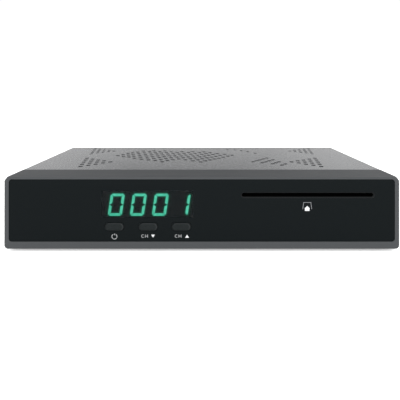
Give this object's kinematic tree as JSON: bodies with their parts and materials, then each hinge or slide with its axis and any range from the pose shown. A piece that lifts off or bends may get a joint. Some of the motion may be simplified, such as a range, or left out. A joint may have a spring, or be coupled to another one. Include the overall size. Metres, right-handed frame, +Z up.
{
  "type": "satellite tv receiver",
  "caption": "Flat set-top satellite receiver with a black display fascia, oval push buttons, a wide card slot, a vented folded-sheet cover and rear aerial, AV and power sockets.",
  "frame": {"origin": "middle of the footprint on the surface the feet stand on", "axes": "+X to the viewer's right along the width, +Y from the front fascia to the rear sockets, +Z up"},
  "size_m": [0.263, 0.1754, 0.0494],
  "materials": {
    "bezel_plastic": "fine moulded texture, dark grey",
    "fascia_gloss": "polished black",
    "window_smoke": "polished smoked filter",
    "button_plastic": "satin dark grey",
    "black_plastic": "moulded black",
    "board_laminate": "green solder mask",
    "zinc_screw": "zinc plated",
    "black_screw": "black oxide",
    "segment_green": "lit teal green",
    "segment_dark": "unlit segment",
    "ribbon_white": "flat cable, white",
    "nylon_white": "natural nylon",
    "gold_contact": "gold plated spring",
    "brass_part": "turned brass",
    "base_sheet": "dark grey coated steel",
    "cover_sheet": "grey coated steel",
    "foot_rubber": "matt black",
    "plated_steel": "tin plated",
    "tinned_sheet": "tinplate",
    "nickel_plate": "nickel plated",
    "audio_socket": "orange moulded",
    "chip_black": "epoxy package",
    "heatsink_alu": "black anodised extrusion",
    "capacitor_sleeve": "dark sleeve, bare top",
    "ferrite": "ferrite"
  },
  "bodies": {
    "housing": {"bezel_screws": "zinc_screw", "board_standoffs": "plated_steel", "card_contacts": "gold_contact", "card_reader_board": "board_laminate", "card_reader_frame": "black_plastic", "card_reader_pillars": "brass_part", "card_reader_ribbon": "ribbon_white", "card_reader_screws": "zinc_screw", "chassis_base": "base_sheet", "chip_components": "chip_black", "connector_nuts": "nickel_plate", "connector_washers": "nickel_plate", "cover_rear_screws": "black_screw", "cover_side_screws": "black_screw", "crystals": "plated_steel", "dc_power_jack": "black_plastic", "display_module": "black_plastic", "display_segments_lit": "segment_green", "display_segments_unlit": "segment_dark", "display_window": "window_smoke", "electrolytic_capacitors": "capacitor_sleeve", "front_bezel": "bezel_plastic", "front_board": "board_laminate", "front_board_screws": "zinc_screw", "front_fascia": "fascia_gloss", "front_ribbon_cable": "ribbon_white", "hdmi_socket": "plated_steel", "heatsink": "heatsink_alu", "ir_receiver": "black_plastic", "lnb_in_connector": "nickel_plate", "lnb_loop_connector": "nickel_plate", "main_board": "board_laminate", "main_board_screws": "zinc_screw", "main_processor": "chip_black", "memory_chips": "chip_black", "power_inductors": "ferrite", "power_switch_housing": "black_plastic", "ribbon_headers": "nylon_white", "rubber_feet": "foot_rubber", "scart_tv_socket": "black_plastic", "scart_vcr_socket": "black_plastic", "small_ics": "chip_black", "spdif_socket": "audio_socket", "tact_switch_bodies": "black_plastic", "top_cover": "cover_sheet", "tuner_can": "tinned_sheet", "tuner_lid": "tinned_sheet", "usb_socket": "plated_steel"},
    "power_button": {"power_button": "button_plastic", "power_switch_plunger": "black_plastic"},
    "channel_down_button": {"channel_down_button": "button_plastic", "channel_down_switch_plunger": "black_plastic"},
    "channel_up_button": {"channel_up_button": "button_plastic", "channel_up_switch_plunger": "black_plastic"},
    "power_rocker": {"power_switch_rocker": "black_plastic"}
  },
  "joints": [
    {"name": "power_button_press", "type": "slide", "parent": "housing", "child": "power_button", "axis": [0, 1, 0], "range_m": [0, 0.0008], "stiffness_N_per_m": 800, "springref_m": -0.001},
    {"name": "channel_down_button_press", "type": "slide", "parent": "housing", "child": "channel_down_button", "axis": [0, 1, 0], "range_m": [0, 0.0008], "stiffness_N_per_m": 800, "springref_m": -0.001},
    {"name": "channel_up_button_press", "type": "slide", "parent": "housing", "child": "channel_up_button", "axis": [0, 1, 0], "range_m": [0, 0.0008], "stiffness_N_per_m": 800, "springref_m": -0.001},
    {"name": "power_rocker_tilt", "type": "hinge", "parent": "housing", "child": "power_rocker", "pos_m": [-0.114, 0.0767, 0.0205], "axis": [0, 0, -1], "range_deg": [0, 20]}
  ]
}
